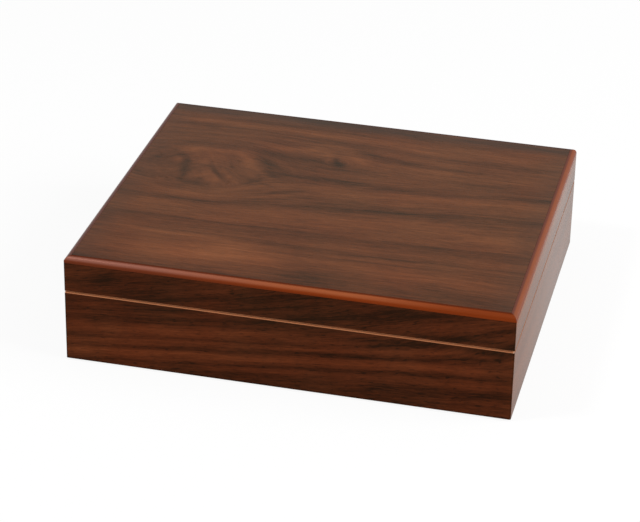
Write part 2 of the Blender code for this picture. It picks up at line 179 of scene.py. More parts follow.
class Noise(NamedTuple):
    """A layer of noise, by its grains to the metre along, across and into the wood.

    The amount is how far it moves or tints what it is used on. Noise without a scale inwards is the
    same at every depth.
    """

    along: float
    across: float
    amount: float = 1.0
    inwards: float = 0.0
    seed: float = 0.0
    detail: float = 2.0
    roughness: float = 0.5


# A Mix node has sockets for each kind of data. These are its share and those of its colours.
MIX_SHARE = 0
MIX_COLOURS = (6, 7)
MIX_RESULT = 2


class Surface:
    """A material in the making. x, y and z are the place on the object, in metres."""

    def __init__(self, name):
        self.material = bpy.data.materials.new(name)
        self.material.use_nodes = True
        self.tree = self.material.node_tree
        self.shader = self.tree.nodes["Principled BSDF"]
        place = self.tree.nodes.new("ShaderNodeTexCoord")
        split = self.tree.nodes.new("ShaderNodeSeparateXYZ")
        self.tree.links.new(place.outputs["Object"], split.inputs[0])
        self.x, self.y, self.z = (Field(self.tree, split.outputs[axis]) for axis in "XYZ")

    def set(self, name, value):
        """Feeds one of the shader's own sockets."""
        feed(self.tree, self.shader.inputs[name], value)

    def point(self, x, y, z):
        """A vector socket."""
        node = self.tree.nodes.new("ShaderNodeCombineXYZ")
        for slot, value in zip(node.inputs, (x, y, z)):
            feed(self.tree, slot, value)
        return node.outputs[0]

    def noise(self, layer, along, across, inwards=0.0, seed=0.0):
        """A layer of noise, around 0 and mostly within 0.5 of it."""
        x = along * layer.along
        y = across * layer.across
        z = inwards * layer.inwards + (layer.seed + seed)
        node = self.tree.nodes.new("ShaderNodeTexNoise")
        self.tree.links.new(self.point(x, y, z), node.inputs["Vector"])
        node.inputs["Scale"].default_value = 1.0
        node.inputs["Detail"].default_value = layer.detail
        node.inputs["Roughness"].default_value = layer.roughness
        return (Field(self.tree, node.outputs[0]) - 0.5) * 2.0

    def wander(self, layer, along, across, seed=0.0):
        """How far a layer of noise pushes the grain, in metres."""
        return self.noise(layer, along, across, seed=seed) * layer.amount

    def ramp(self, field, stops):
        """The colours of (tone, colour) stops, as a colour field."""
        node = self.tree.nodes.new("ShaderNodeValToRGB")
        elements = node.color_ramp.elements
        while len(elements) < len(stops):
            elements.new(0.5)
        for element, (tone, colour) in zip(elements, stops):
            element.position = tone
            element.color = (*colour, 1.0)
        feed(self.tree, node.inputs["Fac"], field)
        return Field(self.tree, node.outputs["Color"])

    def distance(self, place, middle, direction, half_size):
        """How far a place, its third coordinate 1, lies from the middle in a direction, in half sizes.

        It is one dot product, which keeps a face with many marks within Cycles' limit on a shader's size.
        """
        node = self.tree.nodes.new("ShaderNodeVectorMath")
        node.operation = "DOT_PRODUCT"
        scale = [part / half_size for part in direction]
        offset = sum(part * start for part, start in zip(scale, middle))
        self.tree.links.new(place, node.inputs[0])
        node.inputs[1].default_value = (*scale, -offset)
        return Field(self.tree, node.outputs["Value"])

    def spot(self, place, mark):
        """A soft spot round a mark's middle, where it is 1."""
        tilt = math.radians(mark.tilt)
        lengthwise = (math.cos(tilt), math.sin(tilt))
        crosswise = (-math.sin(tilt), math.cos(tilt))
        away, aside = (
            self.distance(place, mark.middle, direction, half_size)
            for direction, half_size in zip((lengthwise, crosswise), mark.half_size)
        )
        return ((away.squared() + aside.squared()) * -1.0).exp()

    def mix(self, share, first, second):
        """The first colour where share is 0, the second where it is 1."""
        node = self.tree.nodes.new("ShaderNodeMix")
        node.data_type = "RGBA"
        feed(self.tree, node.inputs[MIX_SHARE], share)
        for slot, colour in zip(MIX_COLOURS, (first, second)):
            feed(self.tree, node.inputs[slot], colour if isinstance(colour, Field) else (*colour, 1.0))
        return Field(self.tree, node.outputs[MIX_RESULT])

    def bump(self, height):
        """Relief of this height in metres."""
        node = self.tree.nodes.new("ShaderNodeBump")
        node.inputs["Distance"].default_value = 1.0
        feed(self.tree, node.inputs["Height"], height)
        self.tree.links.new(node.outputs["Normal"], self.shader.inputs["Normal"])


# Walnut veneer

BROWN_WALNUT = (
    (0.00, (0.024, 0.0145, 0.0062)),
    (0.25, (0.062, 0.0245, 0.0096)),
    (0.50, (0.104, 0.0375, 0.0146)),
    (0.75, (0.152, 0.0535, 0.0196)),
    (1.00, (0.215, 0.0760, 0.0280)),
)
RED_WALNUT = (
    (0.00, (0.021, 0.0066, 0.0022)),
    (0.25, (0.053, 0.0130, 0.0040)),
    (0.50, (0.090, 0.0206, 0.0062)),
    (0.75, (0.126, 0.0286, 0.0084)),
    (1.00, (0.172, 0.0400, 0.0118)),
)

# Layers of the figure, whose seeds are added to the face's own
BROAD = Noise(7.0, 90.0, amount=0.14, detail=1.0)
MEDIUM = Noise(12.0, 300.0, amount=0.18, seed=4.0)
STRAND = Noise(34.0, 620.0, amount=0.20, seed=28.0)
FINE = Noise(100.0, 1300.0, amount=0.24, seed=8.0, detail=3.0, roughness=0.6)
HAIR = Noise(210.0, 1900.0, amount=0.22, seed=12.0, roughness=0.6)
FADING = Noise(16.0, 60.0, amount=1.2, seed=16.0, detail=1.0)
CLOUD = Noise(34.0, 40.0, amount=0.10, seed=24.0)
LINES = Noise(50.0, 1000.0, amount=0.10, seed=32.0, detail=1.0)
LINE_ENDS = (0.12, 0.45)
PORES = Noise(210.0, 1100.0, seed=20.0, detail=1.0)
PORE_ENDS = (0.20, 0.46)
MARK_FADING = 0.5

# The stain turns redder in soft patches, and towards the front of the top
REDNESS = Noise(26.0, 34.0, amount=0.35, seed=36.0)
TOP_REDDENING = 0.26
TOP_REDDENING_ENDS = (-0.110, 0.020)

# The lacquer and the relief under it
WALNUT_ROUGHNESS = 0.24
PORE_ROUGHENING = 0.12
GRAIN_ROUGHENING = 0.04
PORE_DEPTH = 0.000016
GRAIN_RELIEF = 0.000003

# Raw wood on the rims at the seam, paler at its ends where a highlight is painted, the dark lines at the
# corners, partly painted shade, and the painted shadow at the foot
RAW_EDGE = (0.44, 0.175, 0.078)
RAW_CORNER_HIGHLIGHT = (0.86, 0.62, 0.48)
CORNER_WIDTH = 0.0011
CORNER_SHADE_TONE = -0.36
CORNER_DULLING = 0.9
FOOT_SHADOW_HEIGHT = 0.0016
FOOT_SHADOW_TONE = -0.20

# How far above the seam the lid's own tone is full, and the painted light, a paler and pinker strip, under
# an edging
LID_BAND = 0.003
EDGING_PAINTED_HALO = 0.0055
PAINTED_HALO_COLOUR = (0.30, 0.090, 0.030)
PAINTED_HALO_SHARE = 0.60

# A painted reflection, greyer, along the top's back and side borders
PAINTED_REFLECTION_COLOUR = (0.042, 0.037, 0.030)
PAINTED_REFLECTION_BACK = (0.092, 0.104)
PAINTED_REFLECTION_BACK_SHARE = 0.35
PAINTED_REFLECTION_SIDES = (0.106, 0.126)
PAINTED_REFLECTION_SIDES_SHARE = 0.16

# Streaks of a face, by their height across the grain: (height, half width, tone)
TOP_STREAKS = (
    (0.1010, 0.0080, -0.22),
    (0.0660, 0.0050, 0.06),
    (0.0330, 0.0040, -0.06),
    (0.0213, 0.0038, -0.25),
    (0.0110, 0.0070, 0.12),
    (-0.0015, 0.0026, -0.12),
    (-0.0078, 0.0058, -0.17),
    (-0.0240, 0.0085, 0.12),
    (-0.0460, 0.0040, -0.06),
    (-0.0550, 0.0040, 0.06),
    (-0.0620, 0.0018, -0.13),
    (-0.0690, 0.0014, -0.09),
    (-0.0800, 0.0090, 0.06),
    (-0.1040, 0.0050, -0.20),
)
FRONT_STREAKS = (
    (0.0598, 0.0036, -0.20),
    (0.0530, 0.0026, -0.16),
    (0.0446, 0.0032, -0.19),
    (0.0410, 0.0028, -0.12),
    (0.0350, 0.0030, 0.08),
    (0.0295, 0.0013, -0.16),
    (0.0265, 0.0016, 0.10),
    (0.0233, 0.0019, -0.18),
    (0.0186, 0.0026, 0.16),
    (0.0145, 0.0013, -0.13),
    (0.0110, 0.0020, 0.06),
    (0.0040, 0.0030, -0.10),
)
SIDE_STREAKS = (
    (0.0560, 0.0036, 0.10),
    (0.0480, 0.0030, -0.20),
    (0.0390, 0.0040, 0.12),
    (0.0300, 0.0026, -0.18),
    (0.0180, 0.0060, 0.14),
    (0.0080, 0.0020, -0.18),
)


class Mark(NamedTuple):
    """A soft mark on a face: its middle, half its length and width, its tilt in degrees and its tone."""

    middle: tuple
    half_size: tuple
    tilt: float
    tone: float


TOP_MARKS = (
    # The great knot: its pale rim, from the left over the back to the right
    Mark((-0.0995, 0.0450), (0.0120, 0.0034), 34, 0.22),
    Mark((-0.0820, 0.0478), (0.0130, 0.0034), 4, 0.20),
    Mark((-0.0665, 0.0445), (0.0080, 0.0032), -38, 0.14),
    Mark((-0.0610, 0.0370), (0.0130, 0.0048), -66, 0.22),
    Mark((-0.0490, 0.0370), (0.0090, 0.0045), -66, -0.16),
    Mark((-0.0480, 0.0215), (0.0110, 0.0032), -45, 0.16),
    Mark((-0.0050, 0.0190), (0.0500, 0.0034), -1, 0.12),
    # its dark heart and the strands inside it
    Mark((-0.0965, 0.0180), (0.0150, 0.0036), 101, -0.34),
    Mark((-0.0925, 0.0020), (0.0090, 0.0026), -14, -0.16),
    Mark((-0.0750, 0.0018), (0.0090, 0.0026), 10, -0.16),
    Mark((-0.1045, 0.0355), (0.0060, 0.0032), -50, -0.22),
    Mark((-0.1033, 0.0296), (0.0020, 0.0030), 0, 0.18),
    Mark((-0.0882, 0.0304), (0.0045, 0.0035), 0, 0.18),
    Mark((-0.0790, 0.0130), (0.0110, 0.0042), -58, 0.16),
    Mark((-0.0745, 0.0145), (0.0130, 0.0022), -50, -0.32),
    Mark((-0.0700, 0.0290), (0.0080, 0.0013), -72, -0.12),
    Mark((-0.0590, 0.0150), (0.0120, 0.0034), -48, -0.14),
    Mark((-0.0800, 0.0200), (0.0240, 0.0110), 0, -0.12),
    # the dark arc round its left, and the strands under it and to its right
    Mark((-0.1120, 0.0350), (0.0110, 0.0036), 48, -0.20),
    Mark((-0.1130, 0.0200), (0.0090, 0.0100), 0, -0.12),
    Mark((-0.0330, 0.0003), (0.0120, 0.0024), 25, -0.26),
    Mark((-0.0460, 0.0100), (0.0110, 0.0018), -24, -0.16),
    Mark((-0.0990, -0.0060), (0.0180, 0.0022), -3, -0.14),
    Mark((-0.1000, -0.0140), (0.0280, 0.0030), -2, 0.14),
    Mark((-0.0450, -0.0085), (0.0220, 0.0028), 18, 0.14),
    Mark((-0.1060, 0.0040), (0.0170, 0.0050), 0, -0.14),
    Mark((-0.0200, 0.0072), (0.0250, 0.0030), 2, -0.15),
    Mark((-0.0950, -0.0070), (0.0320, 0.0026), -1, -0.12),
    Mark((-0.0220, -0.0095), (0.0180, 0.0040), 10, 0.18),
    Mark((0.0950, -0.0100), (0.0350, 0.0040), 1, -0.16),
    Mark((-0.0850, -0.0175), (0.0320, 0.0028), 0, 0.26),
    Mark((0.0130, -0.0175), (0.0220, 0.0026), 2, -0.12),
    Mark((0.0500, 0.0010), (0.0250, 0.0040), 6, 0.17),
    Mark((-0.0190, -0.0005), (0.0120, 0.0036), 8, -0.12),
    # The long thin dark strand across the front half
    Mark((-0.0750, -0.0466), (0.0850, 0.0019), 0.3, -0.15),
    Mark((-0.0780, -0.0423), (0.0500, 0.0026), 0, 0.12),
    Mark((0.0700, -0.0442), (0.0850, 0.0021), 1.5, -0.18),
    # The dark strand that leaves the great knot's right side and runs on to the right
    Mark((-0.0430, 0.0335), (0.0130, 0.0028), -42, -0.14),
    Mark((-0.0080, 0.0252), (0.0350, 0.0027), -1, -0.26),
    Mark((-0.0080, 0.0320), (0.0300, 0.0024), -1, 0.10),
    Mark((0.0000, 0.0420), (0.0230, 0.0034), 0, -0.16),
    # The dark strand that runs over the great knot and dips under the small one
    Mark((-0.1120, 0.0470), (0.0140, 0.0034), 40, -0.14),
    Mark((-0.0850, 0.0568), (0.0220, 0.0036), 4, -0.18),
    Mark((-0.0520, 0.0535), (0.0160, 0.0038), -20, -0.24),
    Mark((-0.0250, 0.0490), (0.0220, 0.0040), -5, -0.30),
    Mark((-0.0180, 0.0380), (0.0340, 0.0110), -4, -0.12),
    # The small knot: its dark core, its pale lobe, and the strand that falls away behind it
    Mark((-0.0105, 0.0540), (0.0034, 0.0025), -60, -0.36),
    Mark((-0.0072, 0.0485), (0.0048, 0.0040), -20, -0.38),
    Mark((-0.0450, 0.0612), (0.0200, 0.0030), 6, 0.16),
    Mark((-0.0230, 0.0655), (0.0120, 0.0048), 14, 0.24),
    Mark((0.0005, 0.0600), (0.0110, 0.0038), -36, 0.20),
    Mark((-0.0165, 0.0598), (0.0050, 0.0032), 0, 0.14),
    Mark((0.0550, 0.0530), (0.0600, 0.0036), -3, 0.14),
    Mark((0.0090, 0.0665), (0.0170, 0.0042), -28, -0.22),
    Mark((0.0340, 0.0600), (0.0160, 0.0034), -10, -0.18),
    Mark((0.0660, 0.0585), (0.0180, 0.0018), 0, -0.16),
    Mark((0.0940, 0.0425), (0.0340, 0.0032), 2, -0.24),
    # The pale and the dark strand near the back, which falls to the right
    Mark((-0.0750, 0.0876), (0.0600, 0.0032), 0, 0.22),
    Mark((0.0550, 0.0870), (0.0700, 0.0042), 1, 0.17),
    Mark((-0.0500, 0.0945), (0.0350, 0.0024), 0, -0.14),
    Mark((0.0900, 0.0828), (0.0250, 0.0028), -2, 0.13),
    Mark((-0.0900, 0.0805), (0.0450, 0.0036), -1, -0.16),
    Mark((-0.0100, 0.0772), (0.0420, 0.0034), -4, -0.16),
    Mark((0.0850, 0.0705), (0.0450, 0.0044), -4, -0.20),
    # Broad patches and single strands near the front
    Mark((-0.0570, -0.0845), (0.0500, 0.0135), 0, 0.28),
    Mark((-0.0700, -0.0674), (0.0480, 0.0024), 0, 0.30),
    Mark((-0.0950, -0.0620), (0.0330, 0.0015), 0, -0.18),
    Mark((-0.0330, -0.0730), (0.0220, 0.0040), 0, 0.18),
    Mark((-0.0290, -0.0825), (0.0160, 0.0045), 0, 0.15),
    Mark((-0.0350, -0.1030), (0.0220, 0.0040), 0, 0.14),
    Mark((-0.1150, -0.0990), (0.0200, 0.0065), 0, -0.24),
    Mark((-0.1240, -0.0590), (0.0080, 0.0060), 0, -0.22),
    Mark((-0.1220, -0.0320), (0.0110, 0.0070), 0, -0.15),
    Mark((0.0880, -0.0250), (0.0220, 0.0040), 0, 0.14),
    Mark((0.0880, -0.0855), (0.0220, 0.0050), 0, 0.14),
    Mark((0.0500, -0.0800), (0.0500, 0.0060), 2, 0.12),
    Mark((0.0070, -0.0910), (0.0180, 0.0150), 0, -0.20),
    Mark((0.0800, -0.0970), (0.0500, 0.0070), 0, -0.12),
)
FRONT_MARKS = (
    # Lid
    Mark((-0.0790, 0.0530), (0.0300, 0.0075), 8, -0.18),
    Mark((-0.1055, 0.0562), (0.0130, 0.0036), 26, -0.15),
    Mark((-0.0450, 0.0490), (0.0200, 0.0026), 10, 0.18),
    Mark((0.0700, 0.0600), (0.0180, 0.0026), 4, -0.18),
    Mark((0.0300, 0.0600), (0.0220, 0.0020), 6, 0.12),
    Mark((0.0330, 0.0482), (0.0200, 0.0018), 8, 0.14),
    Mark((0.1000, 0.0478), (0.0300, 0.0016), 3, -0.26),
    Mark((0.1000, 0.0540), (0.0300, 0.0040), 10, 0.12),
    # Base, from its rim down
    Mark((0.0600, 0.0405), (0.0450, 0.0028), 3, -0.26),
    Mark((0.0250, 0.0425), (0.0240, 0.0018), 4, -0.16),
    Mark((0.1000, 0.0425), (0.0160, 0.0014), 2, -0.14),
    Mark((0.1090, 0.0388), (0.0180, 0.0016), 2, 0.16),
    Mark((-0.1050, 0.0360), (0.0200, 0.0018), 3, -0.14),
    Mark((0.0300, 0.0325), (0.0220, 0.0016), 4, 0.16),
    Mark((0.0300, 0.0285), (0.0220, 0.0016), 4, -0.12),
    Mark((-0.0650, 0.0415), (0.0250, 0.0030), 8, -0.14),
    Mark((-0.1120, 0.0388), (0.0220, 0.0026), 2, 0.14),
    Mark((0.1230, 0.0300), (0.0100, 0.0060), 0, -0.22),
    Mark((0.1230, 0.0180), (0.0090, 0.0030), 0, -0.16),
    Mark((-0.1230, 0.0270), (0.0080, 0.0034), 0, 0.18),
    Mark((-0.1220, 0.0095), (0.0090, 0.0034), 0, 0.18),
    Mark((-0.0850, 0.0290), (0.0450, 0.0060), 8, 0.06),
    Mark((0.0250, 0.0265), (0.0200, 0.0016), 4, -0.14),
    Mark((0.0850, 0.0272), (0.0400, 0.0018), 5, 0.14),
    Mark((0.0900, 0.0240), (0.0200, 0.0015), 2, -0.24),
    Mark((-0.0880, 0.0200), (0.0500, 0.0060), 7, 0.08),
    Mark((-0.0200, 0.0172), (0.0700, 0.0028), 7, 0.16),
    Mark((-0.0600, 0.0150), (0.0150, 0.0016), 5, 0.16),
    Mark((-0.0950, 0.0120), (0.0280, 0.0022), 4, 0.16),
    Mark((-0.0400, 0.0162), (0.0200, 0.0016), 5, 0.10),
    Mark((0.0300, 0.0120), (0.0200, 0.0016), 4, -0.12),
    Mark((0.0000, 0.0075), (0.0450, 0.0024), 2, -0.16),
    Mark((-0.0400, 0.0038), (0.0280, 0.0026), 0, -0.14),
    Mark((0.1230, 0.0062), (0.0100, 0.0024), 0, -0.20),
    Mark((0.0550, 0.0105), (0.0180, 0.0026), 11, -0.22),
    Mark((0.1050, 0.0138), (0.0300, 0.0024), 1, -0.24),
    Mark((0.0600, 0.0040), (0.0800, 0.0036), 2, -0.13),
)

# The lid's two knots. The strands part round them, and the great one's reach further to its left.
SWIRL_CENTRE = (-0.0790, 0.0240)
SWIRL_LEFT = 0.070
SWIRL_RIGHT = 0.030
SWIRL_HALF_WIDTH = 0.027
SWIRL_ENDS = (0.55, 1.15)
SWIRL_QUIET = 0.65
KNOT_CENTRE = (-0.0090, 0.0510)
KNOT_HALF_LENGTH = 0.0110
KNOT_HALF_WIDTH = 0.0055
KNOT_RINGS = 0.005
KNOT_PARTING = 0.75

# The rings inside the great knot, and the strands that run down through them
RING_CENTRE = (-0.0840, 0.0240)
RING_SIZE = (0.0270, 0.0240)
RING_SKEW = 0.40
RING_DEPTH = 0.0025
RING_WANDER_UP = Noise(60.0, 60.0, amount=0.006, seed=2.6)
RING_WANDER_SIDEWAYS = Noise(50.0, 50.0, amount=0.007, seed=9.4)
RING_STRANDS = Noise(40.0, 330.0, amount=0.13, seed=4.4)
RING_STRAND_TILT = math.radians(-60)
RING_STRAND_ENDS = (0.35, 1.05)

# The lid's strands wander, and climb to the right through its middle
TOP_WANDER_X = Noise(22.0, 30.0, amount=0.0030, seed=3.1)
TOP_WANDER_Y = Noise(15.0, 30.0, amount=0.0036, seed=7.7)
TOP_CLIMB = 0.0105
TOP_CLIMB_ALONG = (0.0, 0.130)
TOP_CLIMB_FRONT = (-0.045, 0.0)
TOP_CLIMB_BACK = (0.030, 0.045)


def parted(x, y, centre, left, right, half_width):
    """How far a point lies from the middle of a knot, 1 at its rim, and the strands' heights round it."""
    across = y - centre[1]
    from_middle = x - centre[0]
    reach = (from_middle.most(0.0) / right + from_middle.least(0.0) / left).squared()
    reach = reach + (across / half_width).squared()
    return reach, across * (1.0 - KNOT_PARTING / reach.most(1.0)) + centre[1]


def top_grain(surface):
    """The height across the grain, 1 where no knot quiets it, and the great knot's own strands."""
    x = surface.x + surface.wander(TOP_WANDER_X, surface.x, surface.y)
    y = surface.y + surface.wander(TOP_WANDER_Y, surface.x, surface.y)
    climb = x.step(*TOP_CLIMB_ALONG) * y.step(*TOP_CLIMB_FRONT) * (1.0 - y.step(*TOP_CLIMB_BACK))
    y = y - climb * TOP_CLIMB
    knot, y = parted(x, y, KNOT_CENTRE, KNOT_HALF_LENGTH, KNOT_HALF_LENGTH, KNOT_HALF_WIDTH)
    y = y + (knot.least(1.0) - 1.0) * KNOT_RINGS
    swirl, y = parted(x, y, SWIRL_CENTRE, SWIRL_LEFT, SWIRL_RIGHT, SWIRL_HALF_WIDTH)
    ring, strands = swirl_rings(surface, x)
    y = y + (ring.least(1.0) - 1.0) * RING_DEPTH
    return y, swirl.step(*SWIRL_ENDS), strands * RING_STRANDS.amount


def swirl_rings(surface, x):
    """How far a point lies from the middle of the great knot's rings, 1 at their rim, and its strands."""
    up = surface.y - RING_CENTRE[1] + surface.wander(RING_WANDER_UP, surface.x, surface.y)
    sideways = x - RING_CENTRE[0] + up * RING_SKEW
    sideways = sideways + surface.wander(RING_WANDER_SIDEWAYS, surface.x, surface.y)
    ring = (sideways / RING_SIZE[0]).squared() + (up / RING_SIZE[1]).squared()
    cos, sin = math.cos(RING_STRAND_TILT), math.sin(RING_STRAND_TILT)
    down = surface.x * cos + surface.y * sin
    sidelong = surface.y * cos - surface.x * sin
    return ring, surface.noise(RING_STRANDS, down, sidelong) * (1.0 - ring.step(*RING_STRAND_ENDS))


# The front's grain climbs to the right, more steeply on the lid than on the base
BASE_CLIMB = 0.092
BASE_CLIMB_BEND = 0.10
LID_CLIMB = 0.22
CLIMB_CHANGE = (0.022, 0.060)
FRONT_WANDER = Noise(24.0, 60.0, amount=0.0018, seed=2.3)
SIDE_WANDER = Noise(9.0, 14.0, amount=0.007)


def front_grain(surface):
    """The same for the front, which has no knots."""
    base_rise = surface.x * BASE_CLIMB - surface.x.squared() * BASE_CLIMB_BEND
    lid_rise = surface.x * LID_CLIMB
    upper = surface.z.step(*CLIMB_CHANGE)
    wander = surface.wander(FRONT_WANDER, surface.x, surface.z)
    return surface.z - base_rise - (lid_rise - base_rise) * upper + wander, 1.0, 0.0


def side_grain(axis, seed):
    """A grain function for a side or the back, which have no knots either."""
    def grain(surface):
        return surface.z + surface.wander(SIDE_WANDER, getattr(surface, axis), surface.z, seed), 1.0, 0.0
    return grain


class Board(NamedTuple):
    """The look of one face: the axes it spans, its grain running along the first, and its tones.

    The tone has shade as its middle and contrast as its spread, and lid_tone is added on the lid.
    Specular is the lacquer's gloss. Dulling takes a share of it under the edging, and brings a strip of
    painted light there. Relief and raw_edge are shares of the full relief and of the raw rims at the seam.
    """

    axes: str
    grain_of: object
    streaks: tuple
    seed: float
    shade: float
    contrast: float
    redness: float
    pore_tone: float
    specular: float
    marks: tuple = ()
    lid_tone: float = 0.0
    dulling: float = 0.0
    relief: float = 1.0
    raw_edge: float = 1.0

    def lies_flat(self):
        return "z" not in self.axes


TOP = Board(
    axes="xy", grain_of=top_grain, streaks=TOP_STREAKS, marks=TOP_MARKS, seed=1.3,
    shade=0.50, contrast=1.0, redness=0.10, pore_tone=0.08, specular=0.034,
)
FRONT = Board(
    axes="xz", grain_of=front_grain, streaks=FRONT_STREAKS, marks=FRONT_MARKS, seed=5.9,
    shade=0.43, lid_tone=-0.11, contrast=1.1, redness=0.92, pore_tone=0.24, specular=0.024,
)
RIGHT = Board(
    axes="yz", grain_of=side_grain("y", 2.2), streaks=SIDE_STREAKS, seed=11.4,
    shade=0.55, contrast=0.44, redness=0.10, pore_tone=0.08, specular=0.040,
    dulling=0.66, relief=0.05, raw_edge=0.3,
)
BACK = Board(
    axes="xz", grain_of=side_grain("x", 8.1), streaks=SIDE_STREAKS, seed=17.8,
    shade=0.42, contrast=1.0, redness=0.40, pore_tone=0.18, specular=0.036, raw_edge=0.6,
)
LEFT = BACK._replace(axes="yz", grain_of=side_grain("y", 5.5), seed=23.6)


def figure(surface, board, along, upward):
    """The height across the grain, the fine grain and the tone of the figure, about 0."""
    grain, outside_knots, knot_strands = board.grain_of(surface)
    broad, medium, strand, fine, hair, fading = (
        surface.noise(layer, along, grain, seed=board.seed)
        for layer in (BROAD, MEDIUM, STRAND, FINE, HAIR, FADING)
    )
    fading = fading * FADING.amount + 1.0
    cloud = surface.noise(CLOUD, along, upward, seed=board.seed)
    line = surface.noise(LINES, along, grain, seed=board.seed).step(*LINE_ENDS)
    tone = broad * BROAD.amount + medium * MEDIUM.amount + cloud * CLOUD.amount + knot_strands
    lively = strand * STRAND.amount + fine * FINE.amount
    tone = tone + lively * (outside_knots * SWIRL_QUIET + (1.0 - SWIRL_QUIET))
    tone = tone + hair * HAIR.amount - line * LINES.amount
    for height, half_width, amount in board.streaks:
        tone = tone + grain.hump(height, half_width) * fading * outside_knots * amount
    place = surface.point(along, upward, 1.0)
    marked = sum(surface.spot(place, mark) * mark.tone for mark in board.marks)
    return grain, fine, tone + marked * (fading * MARK_FADING + (1.0 - MARK_FADING))


def veneer_tone(surface, board, tone, pores, corner):
    """The figure's tone in the face's own range, with its pores, the dark corner lines of partly painted
    shade and the painted shadow at the foot.
    """
    on_lid = surface.z.step(BASE_RIM, LID_RIM + LID_BAND)
    tone = (tone - pores * board.pore_tone) * board.contrast + board.shade
    tone = tone + corner * CORNER_SHADE_TONE + on_lid * board.lid_tone
    if not board.lies_flat():
        # Painted shadow: the sides darken at their foot, next to the floor
        tone = tone + (1.0 - surface.z.step(WOOD_BOTTOM, WOOD_BOTTOM + FOOT_SHADOW_HEIGHT)) * FOOT_SHADOW_TONE
    return tone


def veneer_colour(surface, board, along, upward, tone):
    """The stained wood, between brown and red walnut."""
    redness = surface.noise(REDNESS, along, upward, seed=board.seed) * REDNESS.amount + board.redness
    if board.lies_flat():
        redness = redness + (1.0 - upward.step(*TOP_REDDENING_ENDS)) * TOP_REDDENING
    return surface.mix(redness, surface.ramp(tone, BROWN_WALNUT), surface.ramp(tone, RED_WALNUT))


def top_painted_reflection(surface):
    """The share of the painted reflection on the top."""
    sides = surface.x.absolute().step(*PAINTED_REFLECTION_SIDES) * PAINTED_REFLECTION_SIDES_SHARE
    return sides.most(surface.y.step(*PAINTED_REFLECTION_BACK) * PAINTED_REFLECTION_BACK_SHARE)


def walnut(name, board):
    """Lacquered walnut veneer for one face, with raw wood where its rims show at the seam."""
    surface = Surface(f"walnut {name}")
    along, upward = (getattr(surface, axis) for axis in board.axes)
    grain, fine, tone = figure(surface, board, along, upward)
    pores = surface.noise(PORES, along, grain, seed=board.seed).step(*PORE_ENDS)
    half_length = -CAD_LOW["xyz".index(board.axes[0])]
    # The dark corner lines are partly painted shade, over the veneers' own dark joints
    corner = along.absolute().step(half_length - CORNER_WIDTH, half_length)
    tone = veneer_tone(surface, board, tone, pores, corner)
    colour = veneer_colour(surface, board, along, upward, tone)
    rim = surface.z.above(BASE_RIM - RIM_CHAMFER) * (1.0 - surface.z.above(LID_RIM + RIM_CHAMFER))
    roughening = (pores * PORE_ROUGHENING + fine * GRAIN_ROUGHENING) * board.relief
    surface.set("Roughness", roughening + WALNUT_ROUGHNESS)
    by_edging = surface.z.step(EDGING_BOTTOM - EDGING_PAINTED_HALO, EDGING_BOTTOM) * board.dulling
    # Painted light: the side turns paler and pinker just under its edging
    colour = surface.mix(by_edging * PAINTED_HALO_SHARE, colour, PAINTED_HALO_COLOUR)
    if board.lies_flat():
        # Painted reflection along the top's back and side borders
        colour = surface.mix(top_painted_reflection(surface), colour, PAINTED_REFLECTION_COLOUR)
    # The raw rims turn to a painted highlight at the corners, where the seam ends
    raw = surface.mix(corner, RAW_EDGE, RAW_CORNER_HIGHLIGHT)
    surface.set("Base Color", surface.mix(rim * board.raw_edge, colour, raw))
    dull = by_edging.most(corner * CORNER_DULLING)
    surface.set("Specular IOR Level", (1.0 - dull) * board.specular)
    surface.bump((fine * GRAIN_RELIEF - pores * PORE_DEPTH) * board.relief)
    return surface.material


# Cherry edging

CHERRY_STOPS = (
    (0.0, (0.142, 0.0200, 0.0029)),
    (0.5, (0.207, 0.0318, 0.0047)),
    (1.0, (0.276, 0.0475, 0.0081)),
)
# A painted highlight along the edging's crest, fading towards the right end of the front edging
CREST_HIGHLIGHT_STOPS = (
    (0.0, (0.215, 0.0520, 0.0170)),
    (0.5, (0.290, 0.0760, 0.0265)),
    (1.0, (0.365, 0.1000, 0.0370)),
)
CREST_DEPTH = 0.0010
CREST_FADE_ENDS = (0.030, 0.110)
# Painted shade at the right end of the front edging
END_SHADE = 0.20
# A painted pinkish sheen at the left of the box over the crest, with a darker, browner flank under it; it
# also tints the joint lines of the back and side edgings
PINK_SHEEN = (0.235, 0.099, 0.076)
PINK_SHEEN_FLANK = (0.125, 0.0290, 0.0125)
PINK_SHEEN_SHARE = 0.75
PINK_SHEEN_ENDS = (-0.105, 0.020)
# Dark lines at the joints with the veneers, partly painted shade
UPPER_JOINT_SHADE_DEPTH = 0.00042
LOWER_JOINT_SHADE_DEPTH = 0.0012
CHERRY_BROAD = Noise(9.0, 240.0, amount=0.24, seed=3.0)
CHERRY_FINE = Noise(50.0, 1500.0, amount=0.20, seed=6.0)
CHERRY_FLECKS = Noise(420.0, 2600.0, amount=0.10, seed=9.0, detail=1.0)
CHERRY_FLECK_ENDS = (0.30, 0.6)
CHERRY_METALLIC = 0.04
CHERRY_ROUGHNESS = 0.20
CHERRY_ROUGHENING = 0.05
CHERRY_RELIEF = 0.000004
CHERRY_FLECK_DEPTH = 0.00001


class Edging(NamedTuple):
    """The look of one edging: the strength of its colours and of its dark joint lines with the veneers,
    partly painted shade.

    A painted highlight lightens the crest down to crest_end, and less so towards the right by fade.
    Its painted pinkish sheen has the share sheen at least, and joint_sheen in the upper joint's line.
    """

    axis: str
    strength: float
    specular: float
    crest_end: float
    upper_joint_shade: float
    lower_joint_shade: float
    fade: float = 0.0
    sheen: float = 0.0
    joint_sheen: float = 0.0


